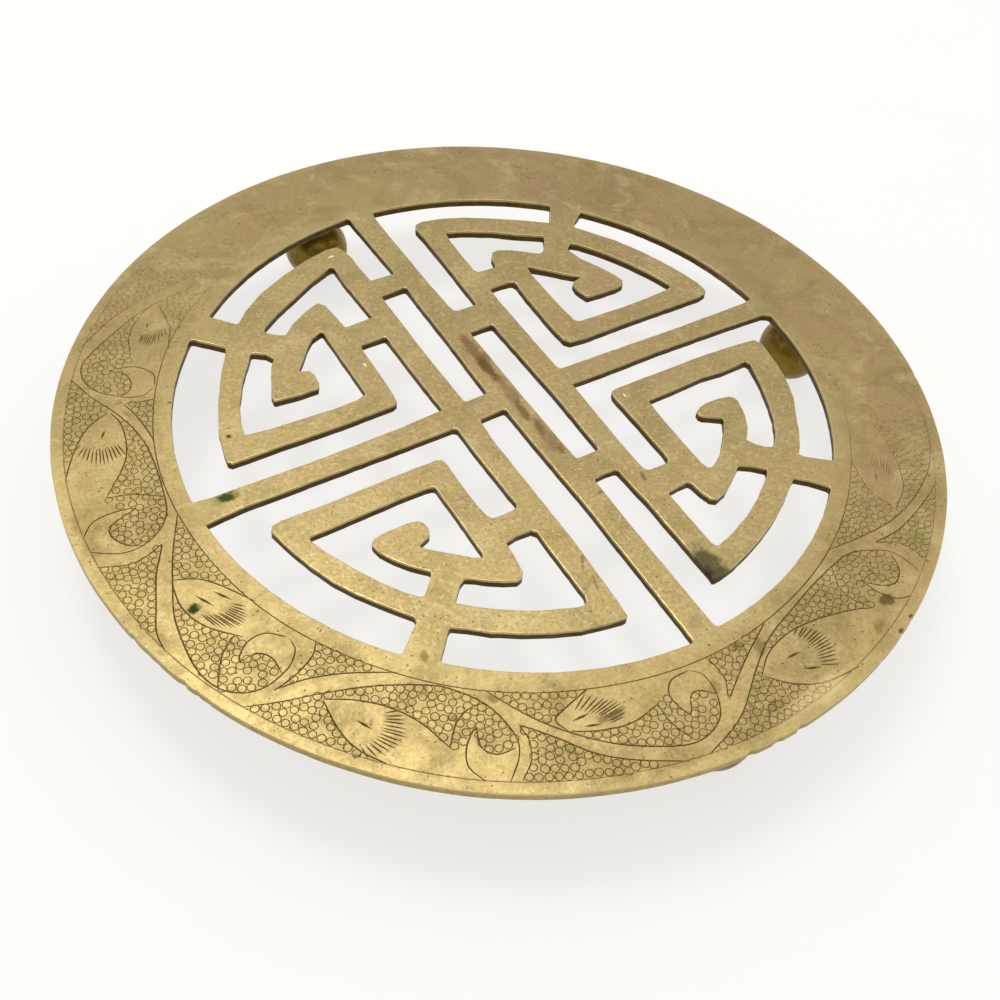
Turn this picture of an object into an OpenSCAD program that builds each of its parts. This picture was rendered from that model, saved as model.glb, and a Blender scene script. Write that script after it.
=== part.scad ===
// Round pierced trivet: one brass sheet sawn through with a round longevity
// fret inside a broad rim, standing on four turned ball feet that are soldered
// under the rim. The origin is on the table, under the middle of the sheet.
// The fret is upright when +Y points away from the reader.

/* [Sheet] */
// Diameter of the brass sheet
plate_d = 180; // [168:1:240]
// Thickness of the brass sheet
plate_t = 2; // [1.2:0.1:4]
// Diameter of the pierced fret inside the rim
fret_d = 134.8; // [110:0.1:146]
// Bevel worn along the upper edge of the rim
edge_bevel = 0.5; // [0.2:0.1:0.9]

/* [Fret bars] */
// Width of the three upright bars
upright_w = 5.1; // [3.5:0.1:6]
// Width of the two level bars that cross the middle
cross_w = 4.8; // [3.5:0.1:6]
// Width of the curved bar in each quarter
ring_bar_w = 5.2; // [3.5:0.1:6]
// Width of the straight bars and the hook in each quarter
fan_w = 5.2; // [3.5:0.1:6]
// Width of the slanting strut from the rim into each quarter
strut_w = 6.8; // [4:0.1:8]
// Width of the short ties between the bars
tie_w = 6; // [4:0.1:8]

/* [Border lines] */
// Width of the two scribed border lines on the rim
line_w = 0.4; // [0.2:0.1:0.8]
// Depth of the border lines
line_depth = 0.2; // [0.1:0.05:0.4]
// Distance from the fret to the inner border line
inner_line_inset = 3.5; // [1:0.1:5]
// Distance from the edge of the sheet to the outer border line
outer_line_inset = 2.3; // [1.5:0.1:5]

/* [Feet] */
// Height of each foot, from the table to the underside of the sheet
foot_h = 20; // [18:0.5:35]
// Diameter of the ball
ball_d = 15; // [12:0.5:17]
// Diameter of the flat worn on the bottom of the ball
pad_d = 5; // [2:0.5:8]
// Diameter of the neck above the ball
neck_d = 7; // [5:0.5:8]
// Radius of the cove between the ball and the neck
cove_r = 2.2; // [1:0.1:2.5]
// Diameter of the flange that is soldered to the sheet
flange_d = 10; // [9:0.5:11]
// Thickness of the flange
flange_t = 1.2; // [0.8:0.1:1.6]
// Reach of the solder fillet around the flange
fillet = 0.8; // [0.4:0.1:0.8]

/* [Hidden] */

$fn = 96;
plate_r = plate_d / 2;
fret_r = fret_d / 2;
plate_z = foot_h;
ball_r = ball_d / 2;
// The ball's middle sits as high as the worn flat leaves it
ball_z = sqrt(pow(ball_r, 2) - pow(pad_d / 2, 2));
// Directions of the feet from the middle: back, right, front, left
foot_angles = [96.5, 0, -89.3, 180];
// How far across the rim's width each foot stands, from the fret outwards.
// They were soldered on by eye, and the front one stands a little further in.
foot_place_shares = [0.5, 0.5, 0.447, 0.5];
overrun = 1;

// Places in the fret, as shares of its radius, x to the right and y to the back.
// The piercing was sawn by hand, so the quarters differ a little.
// Left, middle and right upright bars, each from back to front
upright_shares = [[[-0.195, 0.85], [-0.143, -0.857]],
                  [[-0.034, 1.03], [0.044, -1.03]],
                  [[0.152, 0.878], [0.208, -0.85]]];
// Left and right cross bars, each from the middle side to the rim
cross_shares = [[[-0.17, -0.006], [-1.03, -0.05]],
                [[0.17, 0.006], [1.03, 0.034]]];
// Ties between the middle bar and its neighbours
tie_shares = [[[-0.19, 0.625], [-0.02, 0.627]], [[-0.17, -0.002], [0, -0.002]],
              [[0.02, 0.367], [0.16, 0.367]], [[0.03, -0.35], [0.18, -0.35]]];

// One row for each quarter: back left, back right, front left, front right.
// The radius of the curved bar's middle, then its two end directions in degrees
ring_shares = [0.842, 0.856, 0.837, 0.846];
ring_ends = [[100.8, 173.4], [10.8, 82], [192, 262.3], [281.9, 353.6]];
// The bar that runs from the curved bar's end, round two corners, to the strut
fan_shares = [[[-0.83, 0.135], [-0.35, 0.143], [-0.36, 0.575], [-0.53, 0.46]],
              [[0.83, 0.197], [0.328, 0.178], [0.315, 0.598], [0.5, 0.478]],
              [[-0.8, -0.208], [-0.332, -0.184], [-0.323, -0.585], [-0.49, -0.475]],
              [[0.84, -0.132], [0.347, -0.146], [0.352, -0.575], [0.52, -0.46]]];
// The hook at the strut's inner end, curling inwards
hook_shares = [[[-0.525, 0.47], [-0.605, 0.312], [-0.497, 0.312]],
               [[0.5, 0.52], [0.585, 0.352], [0.465, 0.352]],
               [[-0.485, -0.51], [-0.575, -0.359], [-0.455, -0.357]],
               [[0.53, -0.48], [0.608, -0.318], [0.503, -0.312]]];
// The strut, from the rim to the hook
strut_shares = [[[-0.765, 0.694], [-0.53, 0.478]], [[0.7, 0.8], [0.465, 0.518]],
                [[-0.69, -0.765], [-0.475, -0.518]], [[0.765, -0.715], [0.51, -0.471]]];
// The tie from the quarter's upright part to the nearest long bar
fan_tie_shares = [[[-0.355, 0.441], [-0.18, 0.45]], [[0.325, 0.52], [0.16, 0.518]],
                  [[-0.325, -0.449], [-0.15, -0.446]], [[0.35, -0.479], [0.2, -0.482]]];

// Outline of a bar of one width along a path, with mitred corners
function heading(path, i) = (path[i + 1] - path[i]) / norm(path[i + 1] - path[i]);
function across(v) = [-v[1], v[0]];
function mitre(a, b) = (a + b) / (1 + a * b);
function side_at(path, i) =
    i == 0 ? across(heading(path, 0)) :
    i == len(path) - 1 ? across(heading(path, i - 1)) :
    mitre(across(heading(path, i - 1)), across(heading(path, i)));
function bar_outline(path, w) = concat(
    [for (i = [0:len(path) - 1]) path[i] + side_at(path, i) * w / 2],
    [for (i = [len(path) - 1:-1:0]) path[i] - side_at(path, i) * w / 2]);

module bar(shares, w) {
    linear_extrude(plate_t)
        polygon(bar_outline([for (p = shares) p * fret_r], w));
}

// Flat ring with the sheet's thickness
module ring(outer_r, inner_r) {
    difference() {
        cylinder(r = outer_r, h = plate_t);
        translate([0, 0, -overrun]) cylinder(r = inner_r, h = plate_t + 2 * overrun);
    }
}

// Wedge from the middle that reaches past the fret between two directions
module wedge(ends) {
    reach = 2 * fret_r;
    mid = (ends[0] + ends[1]) / 2;
    linear_extrude(plate_t)
        polygon([[0, 0],
                 reach * [cos(ends[0]), sin(ends[0])],
                 reach * [cos(mid), sin(mid)],
                 reach * [cos(ends[1]), sin(ends[1])]]);
}

module ring_bar(quarter) {
    mid_r = ring_shares[quarter] * fret_r;
    intersection() {
        ring(mid_r + ring_bar_w / 2, mid_r - ring_bar_w / 2);
        wedge(ring_ends[quarter]);
    }
}

module quarter_bars(quarter) {
    ring_bar(quarter);
    bar(fan_shares[quarter], fan_w);
    bar(hook_shares[quarter], fan_w);
    bar(strut_shares[quarter], strut_w);
    bar(fan_tie_shares[quarter], tie_w);
}

module fret_bars() {
    for (path = upright_shares) bar(path, upright_w);
    for (path = cross_shares) bar(path, cross_w);
    for (path = tie_shares) bar(path, tie_w);
    for (quarter = [0:3]) quarter_bars(quarter);
}

module sheet() {
    ring(plate_r, fret_r);
    fret_bars();
}

// V-shaped groove scribed into the top of the sheet at one radius
module border_line(r) {
    translate([0, 0, plate_t])
        rotate_extrude()
            polygon([[r - line_w / 2, 0], [r, -line_depth], [r + line_w / 2, 0],
                     [r + line_w / 2, overrun], [r - line_w / 2, overrun]]);
}

module edge_cut() {
    translate([0, 0, plate_t])
        rotate_extrude()
            polygon([[plate_r - edge_bevel, 0], [plate_r, -edge_bevel],
                     [plate_r + overrun, -edge_bevel], [plate_r + overrun, overrun],
                     [plate_r - edge_bevel, overrun]]);
}

module pierced_plate() {
    color([0.72, 0.63, 0.38])
        translate([0, 0, plate_z])
            difference() {
                sheet();
                border_line(fret_r + inner_line_inset);
                border_line(plate_r - outer_line_inset);
                edge_cut();
            }
}

// Moves what follows to the place of one foot under the rim
module at_foot(i) {
    foot_ring_r = fret_r + foot_place_shares[i] * (plate_r - fret_r);
    rotate(foot_angles[i]) translate([foot_ring_r, 0, 0]) children();
}

// Cove that leads from the ball into the neck, touching both smoothly
module cove() {
    cove_x = neck_d / 2 + cove_r;
    cove_rise = sqrt(pow(ball_r + cove_r, 2) - pow(cove_x, 2));
    meet_x = ball_r * cove_x / (ball_r + cove_r);
    translate([0, 0, ball_z])
        rotate_extrude()
            difference() {
                square([meet_x, cove_rise]);
                translate([cove_x, cove_rise]) circle(r = cove_r);
            }
}

module foot() {
    color([0.66, 0.56, 0.30]) {
        intersection() {
            translate([0, 0, ball_z]) sphere(d = ball_d);
            cylinder(d = ball_d + overrun, h = ball_z + ball_d);
        }
        cove();
        translate([0, 0, ball_z]) cylinder(d = neck_d, h = foot_h - ball_z);
        translate([0, 0, foot_h - flange_t]) cylinder(d = flange_d, h = flange_t);
    }
}

module solder() {
    color([0.55, 0.54, 0.50])
        translate([0, 0, foot_h])
            rotate_extrude()
                polygon([[flange_d / 2, -fillet], [flange_d / 2 + fillet, 0], [flange_d / 2, 0]]);
}

module foot_back() { at_foot(0) foot(); }
module foot_right() { at_foot(1) foot(); }
module foot_front() { at_foot(2) foot(); }
module foot_left() { at_foot(3) foot(); }
module solder_back() { at_foot(0) solder(); }
module solder_right() { at_foot(1) solder(); }
module solder_front() { at_foot(2) solder(); }
module solder_left() { at_foot(3) solder(); }

pierced_plate();
foot_back();
foot_right();
foot_front();
foot_left();
solder_back();
solder_right();
solder_front();
solder_left();
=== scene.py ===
# Round pierced brass trivet on four turned ball feet: a hand-sawn longevity fret
# inside a rim that is engraved with a leaf scroll on a ring-punched ground.
# Lengths are in metres. +Y is the top of the fret when it is read upright.
import math
import random

import bmesh
import bpy
import numpy as np
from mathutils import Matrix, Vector, kdtree
from mathutils.geometry import delaunay_2d_cdt


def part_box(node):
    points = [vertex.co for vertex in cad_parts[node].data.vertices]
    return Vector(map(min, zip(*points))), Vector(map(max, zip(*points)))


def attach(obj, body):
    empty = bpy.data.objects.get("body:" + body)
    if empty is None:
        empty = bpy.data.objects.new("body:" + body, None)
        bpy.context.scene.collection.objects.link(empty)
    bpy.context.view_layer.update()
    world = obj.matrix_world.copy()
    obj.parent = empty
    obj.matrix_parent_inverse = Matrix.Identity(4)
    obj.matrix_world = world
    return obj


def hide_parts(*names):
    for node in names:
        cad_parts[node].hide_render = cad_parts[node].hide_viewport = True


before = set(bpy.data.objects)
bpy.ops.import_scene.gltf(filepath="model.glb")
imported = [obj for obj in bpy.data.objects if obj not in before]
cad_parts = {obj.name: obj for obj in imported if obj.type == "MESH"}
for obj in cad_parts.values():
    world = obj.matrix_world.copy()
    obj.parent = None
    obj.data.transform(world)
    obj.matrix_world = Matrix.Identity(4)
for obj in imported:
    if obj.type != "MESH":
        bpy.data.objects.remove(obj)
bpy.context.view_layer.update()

MM = 0.001
FULL_TURN = 2 * math.pi

# Sizes taken from the frame
PLATE_LOW, PLATE_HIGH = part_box("pierced_plate")
PLATE_R = PLATE_HIGH.x
TOP_Z = PLATE_HIGH.z
UNDER_Z = PLATE_LOW.z
FRET_R = 67.4 * MM

# Camera, as the photograph's perspective gives it
CAMERA_PLACE = Vector((-104.9, -155.6, 202.8)) * MM
CAMERA_TURN = [math.radians(a) for a in (41.19, -4.70, -28.94)]
CAMERA_LENS = 45.55  # millimetres, as is the sensor's width
CAMERA_SENSOR = 36
CAMERA_CLIP = 5 * MM

# Saw and file marks on the sheet
SAWN_CORNER = 0.55 * MM
CORNER_SHARE = 0.42  # most of an edge that one rounded corner may take
STRAIGHT_BEND = math.radians(14)  # smaller bends are left as the saw went
SAW_STEP = 1.6 * MM
SAW_WANDER = 0.05 * MM
RIM_STEPS = 720
RIM_WAVE = 0.09 * MM
RIM_WAVES = ((5, 1), (13, 0.6), (41, 0.4))  # waves in a turn, and their share
NICK_HALF = 0.55  # degrees
# The rubbed bevel from each edge inwards: inset and drop in millimetres, and brightness
BEVEL = ((0, 0.13, 0.7), (0.05, 0.03, 1), (0.17, 0, 0.15))
# Rows of points down the sawn walls: share of the thickness, and hollow in millimetres
WALL_ROWS = ((0.45, 0.02), (0.9, 0.01))
UNDER_CHAMFER = 0.12 * MM

# Engraving tools
LINE_HALF = 0.15 * MM
LINE_DEPTH = 0.13 * MM
STROKE_HALF = 0.24 * MM
HATCH_HALF = 0.135 * MM
CUT_STEP = 0.9 * MM
STROKE_STEP = 0.35 * MM
GROOVE_STEP = 0.12 * MM
RUBBED_DEPTH = 1.3  # wear lowers a cut's depth by this power
PUNCH_R = 0.74 * MM
PUNCH_HALF = 0.11 * MM
PUNCH_DEPTH = 0.10 * MM
PUNCH_PITCH = 1.58 * MM
PUNCH_ROW = 0.7 * MM
PUNCH_FROM_LINE = 0.62 * MM
PUNCH_SIDES = 10
BORDER_IN = FRET_R + 3.5 * MM
BORDER_OUT = PLATE_R - 2.3 * MM
BORDER_STEPS = 480
FIELD_STEP = 0.25 * MM  # squares of the unrolled rim, for finding the punched fields
# The side that faces this way kept its engraving; the other side is rubbed
CRISP_SIDE = math.radians(-131)

# Turned foot
BALL_R = 7.5 * MM
PAD_R = 2.5 * MM
NECK_R = 3.5 * MM
COVE_R = 2.2 * MM
FLANGE_R = 5 * MM
FLANGE_T = 1.2 * MM
SOFT_EDGE = 0.2 * MM
TOOL_RING = 0.018 * MM
BALL_ROWS = 44
COVE_ROWS = 8
TURNED_STEPS = 96

# Openings sawn out of the fret, in shares of its radius. A point marked "round" is
# followed by an edge that runs round the middle of the sheet to the next point.
R = "round"
OPENINGS = {
    "back_left_outer": [
        (-.69, .705, R), (-.075, 1), (-.07, .9), (-.058, .7), (-.058, .668), (-.148, .665),
        (-.152, .72), (-.155, .8), (-.165, .845), (-.178, .87), (-.22, .87), (-.3, .845), (-.4, .8),
        (-.5, .745), (-.575, .685), (-.62, .635)],
    "back_left_slot": [
        (-.15, .583), (-.057, .592), (-.05, .3), (-.048, .042), (-.13, .036), (-.143, .3)],
    "back_left_step": [
        (-.56, .568), (-.548, .59), (-.48, .64), (-.4, .69), (-.32, .74), (-.24, .78),
        (-.232, .775), (-.232, .7), (-.225, .6), (-.218, .498), (-.318, .487), (-.322, .52),
        (-.33, .585), (-.335, .61), (-.353, .632), (-.405, .606), (-.463, .57), (-.504, .529),
        (-.522, .537)],
    "back_left_side": [
        (-.31, .395), (-.222, .4), (-.212, .15), (-.205, .035), (-.35, .018), (-.65, 0),
        (-.95, -.008), (-1, -.005, R), (-.775, .628), (-.693, .552), (-.7, .53), (-.75, .44),
        (-.8, .33), (-.84, .22), (-.855, .14), (-.86, .1), (-.85, .088), (-.7, .095), (-.5, .1),
        (-.33, .112), (-.315, .12), (-.311, .2), (-.313, .37)],
    "back_left_hook": [
        (-.63, .497), (-.7, .39), (-.74, .31), (-.765, .24), (-.777, .177), (-.7, .17), (-.5, .17),
        (-.42, .176), (-.385, .19), (-.388, .3), (-.393, .49), (-.395, .5), (-.43, .485),
        (-.465, .45), (-.5, .4), (-.535, .36), (-.5, .35), (-.493, .33), (-.495, .29), (-.505, .27),
        (-.56, .268), (-.648, .272), (-.645, .3), (-.625, .35), (-.6, .41), (-.577, .445),
        (-.595, .475)],
    "back_right_outer": [
        (.045, .418), (.035, .425), (.03, .45), (.022, .6), (.01, .9), (.01, .97), (.015, 1, R),
        (.617, .795), (.563, .705), (.5, .745), (.4, .8), (.3, .85), (.22, .875), (.15, .885),
        (.12, .875), (.112, .855), (.117, .8), (.12, .6), (.12, .43), (.11, .42)],
    "back_right_slot": [
        (.035, .312), (.118, .315), (.125, .2), (.138, -.05), (.143, -.29), (.14, -.303),
        (.06, -.307), (.056, -.25), (.043, 0), (.033, .29)],
    "back_right_step": [
        (.197, .8), (.25, .785), (.35, .74), (.42, .695), (.505, .65), (.48, .6), (.456, .574),
        (.441, .57), (.405, .596), (.361, .625), (.317, .643), (.295, .639), (.28, .617),
        (.273, .581), (.265, .565), (.203, .565), (.192, .581), (.192, .742)],
    "back_right_side": [
        (.195, .475), (.243, .48), (.284, .477), (.289, .463), (.287, .39), (.289, .207),
        (.295, .159), (.309, .141), (.361, .137), (.537, .148), (.83, .159), (.859, .167),
        (.866, .178), (.863, .222), (.844, .288), (.815, .361), (.778, .442), (.727, .53),
        (.669, .603), (.632, .651), (.654, .683), (.702, .717, R), (.987, .079), (.947, .07),
        (.683, .057), (.243, .046), (.214, .046), (.207, .06), (.203, .17), (.198, .317),
        (.194, .427)],
    "back_right_hook": [
        (.366, .526), (.427, .478), (.463, .445), (.513, .405), (.478, .395), (.467, .39),
        (.463, .361), (.467, .339), (.478, .31), (.537, .308), (.595, .311), (.621, .317),
        (.632, .335), (.625, .361), (.61, .398), (.588, .442), (.559, .493), (.544, .552),
        (.573, .577), (.595, .559), (.647, .493), (.69, .427), (.727, .354), (.753, .295),
        (.771, .248), (.76, .238), (.738, .233), (.647, .222), (.537, .216), (.39, .214),
        (.375, .222), (.369, .28), (.361, .478)],
    "front_left_side": [
        (-.995, -.093), (-.889, -.078), (-.61, -.066), (-.317, -.053), (-.214, -.047),
        (-.203, -.053), (-.201, -.133), (-.192, -.317), (-.187, -.383), (-.191, -.396),
        (-.214, -.403), (-.273, -.405), (-.284, -.39), (-.291, -.346), (-.295, -.243),
        (-.296, -.17), (-.302, -.148), (-.317, -.142), (-.39, -.144), (-.683, -.163),
        (-.808, -.166), (-.837, -.174), (-.846, -.192), (-.823, -.273), (-.797, -.346),
        (-.764, -.419), (-.727, -.478), (-.683, -.537), (-.623, -.61), (-.623, -.628),
        (-.654, -.658), (-.702, -.705, R)],
    "front_left_outer": [
        (-.12, -.045), (-.032, -.038), (-.024, -.207), (-.01, -.463), (-.005, -.683), (.002, -.94),
        (.002, -1, R), (-.625, -.768), (-.563, -.691), (-.552, -.682), (-.515, -.705),
        (-.464, -.742), (-.39, -.782), (-.317, -.815), (-.244, -.839), (-.17, -.853),
        (-.126, -.859), (-.112, -.856), (-.109, -.793), (-.109, -.573), (-.12, -.317),
        (-.128, -.133), (-.125, -.06)],
    "front_left_step": [
        (-.284, -.496), (-.244, -.487), (-.196, -.487), (-.186, -.5), (-.185, -.573),
        (-.179, -.742), (-.186, -.764), (-.2, -.773), (-.222, -.77), (-.317, -.735), (-.39, -.698),
        (-.449, -.661), (-.505, -.619), (-.493, -.603), (-.464, -.57), (-.445, -.557), (-.42, -.57),
        (-.39, -.592), (-.354, -.612), (-.317, -.626), (-.302, -.621), (-.291, -.606),
        (-.284, -.537)],
    "front_left_hook": [
        (-.763, -.262), (-.757, -.251), (-.683, -.246), (-.573, -.238), (-.464, -.229),
        (-.39, -.226), (-.368, -.229), (-.363, -.353), (-.359, -.5), (-.365, -.516), (-.39, -.504),
        (-.427, -.474), (-.464, -.445), (-.509, -.406), (-.471, -.39), (-.46, -.383),
        (-.453, -.361), (-.456, -.339), (-.471, -.324), (-.493, -.32), (-.581, -.325),
        (-.603, -.331), (-.616, -.342), (-.619, -.353), (-.61, -.383), (-.588, -.419),
        (-.559, -.456), (-.515, -.496), (-.524, -.513), (-.563, -.559), (-.57, -.564),
        (-.581, -.559), (-.61, -.529), (-.654, -.471), (-.698, -.397), (-.735, -.331)],
    "front_right_side": [
        (.212, -.026), (.28, -.026), (.39, -.021), (.537, -.012), (.83, -.004), (.976, -.005),
        (.995, -.016, R), (.768, -.639), (.749, -.628), (.691, -.584), (.685, -.573), (.705, -.551),
        (.742, -.5), (.786, -.427), (.822, -.368), (.848, -.302), (.866, -.229), (.877, -.163),
        (.88, -.119), (.87, -.097), (.83, -.093), (.683, -.089), (.537, -.095), (.331, -.103),
        (.309, -.108), (.302, -.126), (.307, -.243), (.311, -.39), (.309, -.423), (.298, -.432),
        (.265, -.435), (.229, -.434), (.22, -.419), (.215, -.317)],
    "front_right_outer": [
        (.065, -.401), (.071, -.396), (.111, -.391), (.147, -.393), (.149, -.419), (.159, -.537),
        (.171, -.83), (.17, -.853), (.199, -.85), (.251, -.839), (.317, -.815), (.39, -.784),
        (.463, -.746), (.537, -.698), (.606, -.647), (.614, -.645), (.647, -.672), (.683, -.713),
        (.687, -.724, R), (.089, -.987), (.082, -.976), (.076, -.83), (.067, -.573), (.064, -.412)],
    "front_right_step": [
        (.232, -.537), (.24, -.531), (.28, -.526), (.313, -.524), (.318, -.537), (.324, -.573),
        (.333, -.603), (.35, -.616), (.39, -.603), (.427, -.577), (.485, -.535), (.491, -.533),
        (.522, -.551), (.557, -.581), (.544, -.599), (.507, -.628), (.463, -.661), (.39, -.705),
        (.317, -.738), (.258, -.757), (.247, -.757), (.24, -.742)],
    "front_right_hook": [
        (.39, -.188), (.463, -.185), (.61, -.172), (.683, -.176), (.784, -.17), (.786, -.181),
        (.768, -.258), (.753, -.302), (.731, -.361), (.705, -.419), (.669, -.478), (.636, -.511),
        (.628, -.513), (.61, -.504), (.588, -.482), (.572, -.456), (.588, -.441), (.61, -.412),
        (.632, -.368), (.65, -.309), (.647, -.291), (.632, -.279), (.595, -.273), (.551, -.274),
        (.522, -.28), (.504, -.291), (.501, -.306), (.507, -.317), (.562, -.35), (.555, -.361),
        (.537, -.39), (.5, -.434), (.463, -.471), (.427, -.496), (.408, -.504), (.397, -.5),
        (.391, -.478), (.388, -.317)],
}

# Engraved scroll, read round the rim: each point is an angle in degrees and a share of
# the sheet's radius. One repeat runs from the tip of an outer leaf to the next one.
# "lines" are vine, leaf and curl outlines, "strokes" are the thick cuts in the leaves,
# "fans" are hatching from a first cut to a last one, "ground" marks punched fields, and
# "fences" end a field where no line was cut.
SCROLL_LEFT = {
    "tips": (-201.1, -141.7),
    "lines": [
        [(-201.1, .88), (-198.2, .922), (-194.8, .947), (-192, .962), (-189, .977)],
        [(-201.1, .88), (-198.8, .856), (-195, .845), (-190.7, .854), (-185.2, .905)],
        [(-207.5, .977), (-204, .92), (-200.3, .858), (-195.4, .812), (-189.7, .793),
         (-183.3, .793), (-179.3, .805), (-176.7, .836), (-175.4, .876), (-175.4, .915),
         (-176.4, .948), (-177.6, .977)],
        [(-202.9, .854), (-200.3, .823), (-196.5, .796), (-194, .785)],
        [(-202.9, .854), (-203, .825), (-203.8, .785)],
        [(-185.2, .905), (-184.7, .854), (-183.5, .814), (-182.4, .792)],
        [(-179.7, .977), (-181.7, .947), (-182.3, .902), (-181.9, .861), (-180.4, .914),
         (-178.7, .925), (-176.5, .907), (-175.4, .88)],
        [(-174.9, .977), (-173.4, .92), (-173.7, .869), (-174.3, .845), (-170.3, .887),
         (-166.1, .927), (-162.9, .962), (-160.2, .977)],
        [(-179, .785), (-172.5, .836), (-167.8, .876), (-162.9, .922), (-156.5, .964),
         (-152.6, .971), (-150, .953), (-148.4, .92), (-147.8, .88), (-147.8, .854), (-148.7, .822),
         (-150.6, .809)],
        [(-168.4, .872), (-163.9, .893), (-159.7, .888), (-155, .858)],
        [(-168.4, .872), (-166.5, .831), (-163.3, .805), (-158, .785)],
        [(-152.7, .972), (-155.3, .913), (-156.3, .862)],
        [(-150.6, .809), (-153.4, .827), (-154.2, .865), (-153.1, .903), (-152.2, .872),
         (-150.3, .862), (-147.8, .88)],
    ],
    "strokes": [
        [(-197.7, .887), (-195.9, .895)],
        [(-164.5, .858), (-161.4, .846)],
        [(-163.5, .826), (-160.5, .812)],
    ],
    "fans": [
        [(-195.3, .935), (-193.8, .945), (-194.8, .864), (-192.3, .858), 13],
        [(-161.8, .876), (-158.6, .868), (-160.2, .82), (-158.2, .811), 13],
    ],
    "fences": [[(-185.2, .905), (-182.3, .902)], [(-156.3, .862), (-154.2, .865)]],
    "ground": [(-199, .94), (-187, .82), (-179.5, .86), (-172, .95), (-172.8, .815), (-161, .915),
               (-151.5, .93), (-200.5, .8)],
}
SCROLL_NEAR = {
    "tips": (-141.7, -85.1),
    "lines": [
        [(-141.7, .891), (-138.2, .938), (-135.2, .964), (-131.5, .977)],
        [(-141.7, .891), (-138.2, .869), (-133.9, .862), (-129.7, .878), (-125.7, .919)],
        [(-148.9, .977), (-145.7, .931), (-142.3, .883), (-137.1, .831), (-130.7, .798),
         (-126.5, .796), (-121.6, .823), (-118.3, .88), (-117.9, .924), (-118.9, .977)],
        [(-147.3, .918), (-144.6, .865), (-141, .825), (-137.3, .8), (-134.3, .785)],
        [(-147.3, .918), (-146.4, .872), (-146.1, .818), (-147.1, .785)],
        [(-125.7, .919), (-125.5, .869), (-124.4, .836), (-122.6, .816)],
        [(-121.4, .977), (-123.3, .953), (-123.8, .913), (-123, .872), (-122.2, .909),
         (-120.3, .922), (-118, .905)],
        [(-117.8, .977), (-116.6, .931), (-116.9, .883), (-117.8, .861), (-113.5, .887),
         (-109.3, .925), (-105, .95), (-99.3, .977)],
        [(-122.9, .785), (-116.7, .838), (-111.8, .876), (-106.1, .913), (-99.7, .941),
         (-96.3, .941), (-93.3, .914), (-91.8, .865), (-91.9, .818), (-93.5, .8)],
        [(-111.8, .874), (-108.2, .878), (-103.9, .873), (-99.7, .847)],
        [(-111.8, .874), (-113.2, .85), (-111.8, .827), (-107.8, .785)],
        [(-97.4, .943), (-99.1, .894), (-99.7, .847)],
        [(-93.5, .8), (-96.5, .807), (-97.8, .84), (-96.5, .886), (-95.2, .852), (-93.9, .846),
         (-91.9, .867)],
    ],
    "strokes": [
        [(-137, .907), (-134.8, .916)],
        [(-111.2, .854), (-108.7, .84)],
        [(-109.9, .867), (-107.6, .866)],
    ],
    "fans": [
        [(-135.2, .955), (-133.7, .966), (-134.2, .877), (-132.2, .873), 14],
        [(-110.6, .832), (-108.6, .802), (-106.6, .867), (-104.2, .85), 14],
    ],
    "fences": [[(-125.7, .919), (-123.8, .913)], [(-99.7, .847), (-97.8, .84)]],
    "ground": [(-138.8, .96), (-127, .83), (-121, .87), (-114.5, .93), (-115.5, .8), (-105, .895),
               (-94.6, .9), (-145.5, .8)],
}
SCROLL_RIGHT = {
    "tips": (-85.1, -6.2),
    "lines": [
        [(-85.1, .876), (-82.5, .922), (-79.5, .954), (-76.3, .968), (-74, .977)],
        [(-85.1, .876), (-81.8, .843), (-77.3, .833), (-72.2, .851), (-67.3, .894), (-65.4, .922)],
        [(-97, .977), (-91, .929), (-85, .858), (-79.9, .819), (-73.5, .803), (-66.5, .801),
         (-59, .824), (-55.9, .873), (-55.1, .909), (-55.9, .956), (-56.8, .977)],
        [(-90.9, .887), (-87.8, .852), (-84.2, .821), (-80.8, .799), (-78.2, .785)],
        [(-90.9, .887), (-89.6, .851), (-89.4, .824), (-89.9, .785)],
        [(-65.4, .922), (-65.9, .88), (-65.1, .843), (-62.6, .812)],
        [(-60.6, .977), (-62.2, .953), (-62.7, .918), (-62.2, .876), (-61.6, .909), (-60, .936),
         (-57.5, .932), (-55.2, .9)],
        [(-54.1, .977), (-53.1, .938), (-53.3, .9), (-54.5, .869), (-50.8, .905), (-45.2, .944),
         (-40.3, .977)],
        [(-59.8, .785), (-54.6, .834), (-49, .889), (-42.9, .933), (-36.5, .965), (-30, .974),
         (-24, .966), (-18.8, .93), (-16.6, .88), (-16.4, .82), (-18.7, .792)],
        [(-46.9, .891), (-41.8, .902), (-35.4, .88), (-28.8, .84)],
        [(-46.9, .891), (-45.1, .84), (-42.5, .81), (-38.5, .785)],
        [(-26.4, .975), (-29, .92), (-28.8, .84)],
        [(-18.7, .792), (-24, .8), (-25.8, .845), (-25.5, .898), (-22.8, .848), (-20.2, .862),
         (-16.5, .868)],
    ],
    "strokes": [
        [(-80.7, .872), (-78, .879)],
        [(-79.9, .909), (-77.9, .927)],
        [(-42.5, .844), (-40.5, .841)],
    ],
    "fans": [
        [(-77.9, .922), (-75.8, .936), (-77, .847), (-74.8, .846), 15],
        [(-40.9, .869), (-38.2, .868), (-41.2, .826), (-39.4, .81), 10],
    ],
    "fences": [[(-65.4, .922), (-62.7, .918)], [(-28.8, .84), (-25.8, .845)]],
    "ground": [(-89, .95), (-86.5, .81), (-72, .82), (-62, .85), (-50, .95), (-50, .82), (-42, .92),
               (-20.5, .92)],
}
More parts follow.
